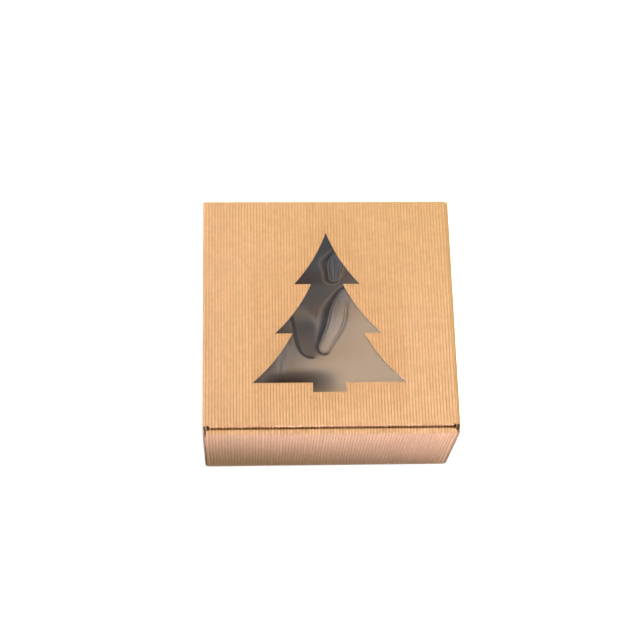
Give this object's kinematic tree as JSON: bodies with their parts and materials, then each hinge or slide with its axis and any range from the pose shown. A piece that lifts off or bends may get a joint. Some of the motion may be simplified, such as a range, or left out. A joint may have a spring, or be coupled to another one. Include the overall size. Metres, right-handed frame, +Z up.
{
  "type": "folding gift box",
  "caption": "Square folding box of open-flute kraft board with a hinged tuck lid, rolled-over walls and a tree-shaped window closed by clear film.",
  "frame": {"origin": "centre of the footprint, on the plane that the base rests on", "axes": "+X to the right as seen from the front, +Y from the front to the lid's hinge at the back, +Z up"},
  "size_m": [0.2, 0.1976, 0.095],
  "materials": {
    "kraft_liner": "matte",
    "kraft_fluting": "matte",
    "clear_film": "gloss",
    "glue": "satin"
  },
  "bodies": {
    "box": {"base_liner": "kraft_liner", "base_fluting": "kraft_fluting", "front_wall_liner": "kraft_liner", "front_wall_fluting": "kraft_fluting", "front_roll_liner": "kraft_liner", "front_roll_fluting": "kraft_fluting", "front_inner_liner": "kraft_liner", "front_inner_fluting": "kraft_fluting", "back_wall_liner": "kraft_liner", "back_wall_fluting": "kraft_fluting", "left_wall_liner": "kraft_liner", "left_wall_fluting": "kraft_fluting", "left_roll_liner": "kraft_liner", "left_roll_fluting": "kraft_fluting", "left_inner_liner": "kraft_liner", "left_inner_fluting": "kraft_fluting", "right_wall_liner": "kraft_liner", "right_wall_fluting": "kraft_fluting", "right_roll_liner": "kraft_liner", "right_roll_fluting": "kraft_fluting", "right_inner_liner": "kraft_liner", "right_inner_fluting": "kraft_fluting", "front_left_flap_liner": "kraft_liner", "front_left_flap_fluting": "kraft_fluting", "front_right_flap_liner": "kraft_liner", "front_right_flap_fluting": "kraft_fluting", "back_left_flap_liner": "kraft_liner", "back_left_flap_fluting": "kraft_fluting", "back_right_flap_liner": "kraft_liner", "back_right_flap_fluting": "kraft_fluting"},
    "lid": {"lid_liner": "kraft_liner", "lid_fluting": "kraft_fluting", "film_glue": "glue", "window_film": "clear_film"},
    "tuck_flap": {"tuck_flap_liner": "kraft_liner", "tuck_flap_fluting": "kraft_fluting"}
  },
  "joints": [
    {"name": "lid_hinge", "type": "hinge", "parent": "box", "child": "lid", "pos_m": [0, 0.0978, 0.0938], "axis": [-1, 0, 0], "range_deg": [0, 180]},
    {"name": "tuck_fold", "type": "hinge", "parent": "lid", "child": "tuck_flap", "pos_m": [0, -0.09135, 0.0938], "axis": [1, 0, 0], "range_deg": [0, 80]}
  ]
}
